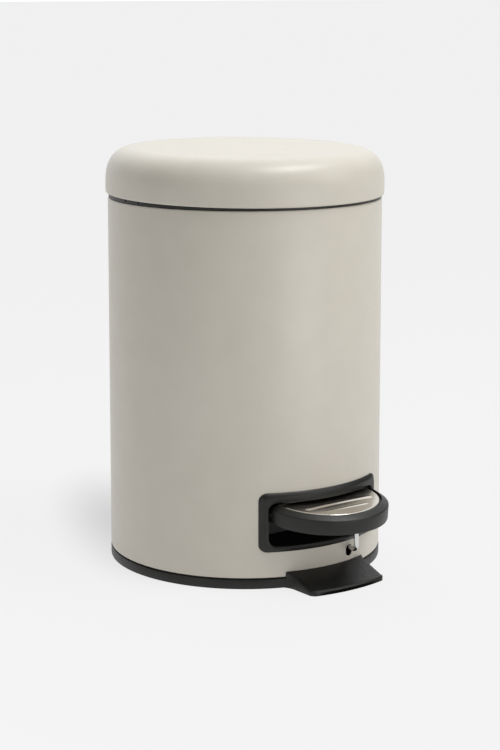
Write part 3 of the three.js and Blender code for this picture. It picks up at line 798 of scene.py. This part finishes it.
def make_lid():
    outside = lid_curve(0, 40)
    inside = lid_curve(LID["sheet"], 24)[::-1]
    hem = [(0.8, 2.2), (1.5, 1.9), (1.6, 0.9), (1.2, 0.2), (0.75, 0), (0.3, 0.15), (0.05, 0.6), (0, 1.2)]
    rolled = [(LID_R - inset, z) for inset, z in hem]
    lid = turned("lid_dome", inside + rolled + outside, loop=False)
    seat_lid(lid)
    dress(lid, "lid", "coated_steel", "lid_shell", sharp=45)


def make_liner():
    """A ring inside the lid with the boss that the hinge strap is screwed to."""
    outer, wall, ledge = LINER["outer"], LINER["wall"], LINER["ledge"]
    profile = [(outer, LINER["low"]), (outer, LINER["top"]), (wall, LINER["top"]), (wall, LINER["ledge_top"])]
    profile += [(ledge, LINER["ledge_top"]), (ledge, LINER["low"])]
    ring = turned("lid_ring", fillet(profile, 0.4, 3))
    notch = WEB["near"] - GAP
    combine(ring, block("tool", (-notch, 70, -10), (notch, OUTSIDE, 30), 0.3))
    low = (-BOSS["half"], BOSS["front"], BOSS["low"])
    combine(ring, block("tool", low, (BOSS["half"], BOSS["back"], BOSS["top"]), 1.2), "UNION")
    for near, far in mirrored(WEB["near"], BOSS["half"]):
        web = block("tool", (near, BOSS["front"], WEB["low"]), (far, WEB["back"], WEB["top"]), 0.5)
        combine(ring, web, "UNION")
    seat_lid(ring)
    dress(ring, "lid", "black_plastic", "lid_liner")


# ---- hinge ----------------------------------------------------------------------------


def make_hinge_housing():
    """A hollow cover on the drum's back with a lug each side of the hinge strap."""
    half, back, low, top = HOUSE_HIGH.x, HOUSE_HIGH.y, HOUSE_LOW.z, HOUSE["top"]
    front, wall, lug_r = HOUSE["front"], HOUSE["wall"], HOUSE["lug"]
    outline = [(front, low), (back - 4, low), (back, low + 6), (back, top - 3), (back - 2, top), (front, top)]
    housing = slab("hinge_cover", fillet(outline, 2.5, 6), -half, half, 1.2)
    hollow = block("tool", (wall - half, 60, low + wall), (half - wall, back - wall, top - wall), 0.8)
    combine(housing, hollow)
    outline = arc((HINGE.y, HINGE.z), (lug_r, lug_r), math.pi, 16)
    outline += [(HINGE.y - lug_r, top - 2), (HINGE.y + lug_r, top - 2)]
    for near, far in mirrored(HOUSE["lug_near"], half):
        combine(housing, slab("tool", outline, near, far, 0.5), "UNION")
    drum = [(0, 150), (DRUM_R + GAP, 150), (DRUM_R + GAP, FAR), (0, FAR)]
    combine(housing, turned("tool", drum, loop=False))
    combine(housing, slab("tool", circle((HINGE.y, HINGE.z), HOUSE["hole"], 24), -40, 40, 0.01))
    dress(housing, "bin", "black_plastic", "hinge_housing")


# ---- bucket ---------------------------------------------------------------------------


def make_bucket():
    """A tapered cup with a flange, a lug each side for the bail, and a notch for the push rod."""
    low, top = BUCKET_BOTTOM, BUCKET["top"]
    flange, wide, narrow, wall = BUCKET["flange"], BUCKET["wide"], BUCKET["narrow"], BUCKET["wall"]
    profile = [
        (0, low + 1), (narrow - 9, low + 1), (narrow - 8, low), (narrow - 3, low),
        (narrow - 1, low + 0.8), (narrow, low + 3), (wide, top - 2.4), (wide + 0.5, top - 2),
        (flange - 0.4, top - 2), (flange, top - 1.6), (flange, top - 0.4), (flange - 0.4, top),
        (wide - wall + 0.8, top), (wide - wall, top - 0.7), (narrow - wall, low + 4),
        (narrow - wall - 1.2, low + 2.6), (narrow - 5, low + 1.6), (narrow - 9, low + 2.4), (0, low + 2.4),
    ]
    bucket = turned("bucket_cup", profile, loop=False)
    lug_half = BUCKET_LUG["half"]
    outline = arc((0, BAIL.z - BUCKET_LUG["drop"]), (lug_half, BUCKET_LUG["rise"]), math.pi, 16)
    outline += [(-lug_half, top - 1), (lug_half, top - 1)]
    for near, far in mirrored(BUCKET_LUG["near"], BUCKET_LUG["far"]):
        combine(bucket, slab("tool", outline, near, far, 0.3), "UNION")
    combine(bucket, slab("tool", circle((0, BAIL.z), BUCKET_LUG["hole"], 24), -100, 100, 0.01))
    combine(bucket, disc("tool", Vector((WIRE_X, ROD_Y, 0)), ROD_NOTCH, top - 4, top + 8))
    dress(bucket, "bucket", "grey_plastic", "bucket")


def bail_angles(half_angle, steps):
    """Angles along the folded bail, counted from its front."""
    return [half_angle * (2 * k / steps - 1) for k in range(steps + 1)]


def make_bail_wire():
    radius, reach = BAIL_LOOP["radius"], BAIL_LOOP["reach"]
    angles = bail_angles(math.pi / 2 - 0.05, 72)
    loop = [(radius * math.sin(t), -radius * math.cos(t), BAIL.z) for t in angles]
    left = [(-reach, 0, BAIL.z), (-radius, 0, BAIL.z)]
    right = [(radius, 0, BAIL.z), (reach, 0, BAIL.z)]
    wire = rod("bail_loop", left + loop + right, BAIL_LOOP["wire"], 16)
    dress(wire, "bail", "bright_steel", "bail_wire", sharp=60)


def grip_size(part, step):
    """The grip's radius: gently waved in the middle and rounded off towards its ends."""
    wave = 0.2 * math.cos(step * TAU / 6) if part < 0.85 else 0
    return min(2.75 + wave, 1.7 + 1.25 * math.sqrt(max(0, 1 - part ** 8)))


def make_bail_grip():
    radius, steps = BAIL_LOOP["radius"], 64
    rings = []
    for k, angle in enumerate(bail_angles(BAIL_LOOP["grip"], steps)):
        size = grip_size(abs(2 * k / steps - 1), k)
        section = circle((radius, BAIL.z), size, 24)
        rings.append([(r * math.sin(angle), -r * math.cos(angle), z) for r, z in section])
    grip = new_object("bail_handle", *bridge(rings))
    dress(grip, "bail", "black_plastic", "bail_grip", sharp=50)


# ---- carried-over nodes ---------------------------------------------------------------


def dress_frame_nodes():
    """Gives each node that stays the finish of its record slot."""
    for part in frame["record"]["subparts"]:
        node = frame["nodes"][part["node"]]
        node.data.materials.clear()
        node.data.materials.append(LOOKS[part["material_slot"]])


# ---- stage ----------------------------------------------------------------------------


def painted_floor_shadow(material, centre, turn, reach, dark, light):
    """Painted shadow: emission that dips smoothly from light to dark over an ellipse on the floor."""
    nodes, links = material.node_tree.nodes, material.node_tree.links
    coord = nodes.new("ShaderNodeTexCoord")
    ellipse = nodes.new("ShaderNodeMapping")
    ellipse.vector_type = "TEXTURE"
    ellipse.inputs["Location"].default_value = (*centre, 0)
    ellipse.inputs["Rotation"].default_value = (0, 0, turn)
    ellipse.inputs["Scale"].default_value = (*reach, 1)
    away = nodes.new("ShaderNodeVectorMath")
    away.operation = "LENGTH"
    spread = nodes.new("ShaderNodeMapRange")
    spread.interpolation_type = "SMOOTHSTEP"
    spread.inputs["To Min"].default_value = dark
    spread.inputs["To Max"].default_value = light
    links.new(coord.outputs["Object"], ellipse.inputs["Vector"])
    links.new(ellipse.outputs["Vector"], away.inputs[0])
    links.new(away.outputs["Value"], spread.inputs["Value"])
    links.new(spread.outputs["Result"], nodes["Principled BSDF"].inputs["Emission Strength"])


def make_floor():
    """A wide pale floor that glows, so its shade stays even, with a painted shadow behind the bin where its
    glow dims.
    """
    far, level = 40000, -0.2
    points = [(-far, -far, level), (far, -far, level), (far, far, level), (-far, far, level)]
    floor = new_object("floor", points, [(0, 1, 2, 3)])
    material = new_material(
        "floor",
        Base_Color=(0.06, 0.06, 0.06, 1),
        Roughness=0.9,
        Specular_IOR_Level=0.0,
        Emission_Color=(1, 1, 1, 1),
    )
    # painted shadow: the floor's glow dims over an ellipse behind and left of the bin, standing in for its
    # cast shadow
    painted_floor_shadow(material, (-0.028, 0.1), math.radians(65), (0.17, 0.054), 0.59, 0.823)
    floor.data.materials.append(material)


def glow(nodes, links, toward, start, stop, strength):
    """Light that rises evenly between two cosines from a direction."""
    dot = nodes.new("ShaderNodeVectorMath")
    dot.operation = "DOT_PRODUCT"
    dot.inputs[1].default_value = Vector(toward).normalized()
    links.new(nodes["Texture Coordinate"].outputs["Generated"], dot.inputs[0])
    spread = nodes.new("ShaderNodeMapRange")
    spread.inputs["From Min"].default_value = start
    spread.inputs["From Max"].default_value = stop
    spread.inputs["To Max"].default_value = strength
    links.new(dot.outputs["Value"], spread.inputs["Value"])
    return spread.outputs["Result"]


def make_world():
    """A dim studio with a pale ceiling and a pale backdrop behind the bin."""
    world = bpy.data.worlds.new("studio")
    bpy.context.scene.world = world
    world.use_nodes = True
    nodes, links = world.node_tree.nodes, world.node_tree.links
    nodes.new("ShaderNodeTexCoord")
    add = nodes.new("ShaderNodeMath")
    add.operation = "ADD"
    links.new(glow(nodes, links, (0.3, 0.9, 0.2), 0.3, 0.95, 1.09), add.inputs[0])
    links.new(glow(nodes, links, (0, 0, 1), 0.3, 1.0, 1.13), add.inputs[1])
    links.new(add.outputs["Value"], nodes["Background"].inputs["Strength"])
    nodes["Background"].inputs["Color"].default_value = (0.97, 0.985, 1.0, 1)


def area_light(name, place, target, size, power):
    """A rectangular lamp aimed at a target; places and sizes are in metres."""
    data = bpy.data.lights.new(name, "AREA")
    data.shape = "RECTANGLE"
    data.size, data.size_y = size
    data.energy = power
    light = bpy.data.objects.new(name, data)
    light.location = place
    light.rotation_euler = (Vector(target) - Vector(place)).to_track_quat("-Z", "Y").to_euler()
    bpy.context.collection.objects.link(light)


def make_lights():
    area_light("key", (0.9, -1.2, 0.9), (0, 0, 0.12), (0.9, 0.9), 4.7)
    area_light("overhead", (0.3, -0.5, 1.4), (0, 0, 0.2), (0.8, 0.35), 10.3)
    area_light("low_front", (0.1, -0.75, 0.1), (0, 0, 0.08), (0.4, 0.1), 0.7)
    area_light("low_left", (-0.34, -0.12, 0.05), (0, 0, 0.05), (0.3, 0.08), 0.06)


make_drum()
make_rim()
make_base()
make_foot_pads()
make_recess()
make_pedal()
make_plate()
make_lever()
make_lid()
make_liner()
make_hinge_housing()
make_bucket()
make_bail_wire()
make_bail_grip()
dress_frame_nodes()
make_floor()
make_world()
make_lights()
bpy.context.scene.view_settings.view_transform = "Standard"
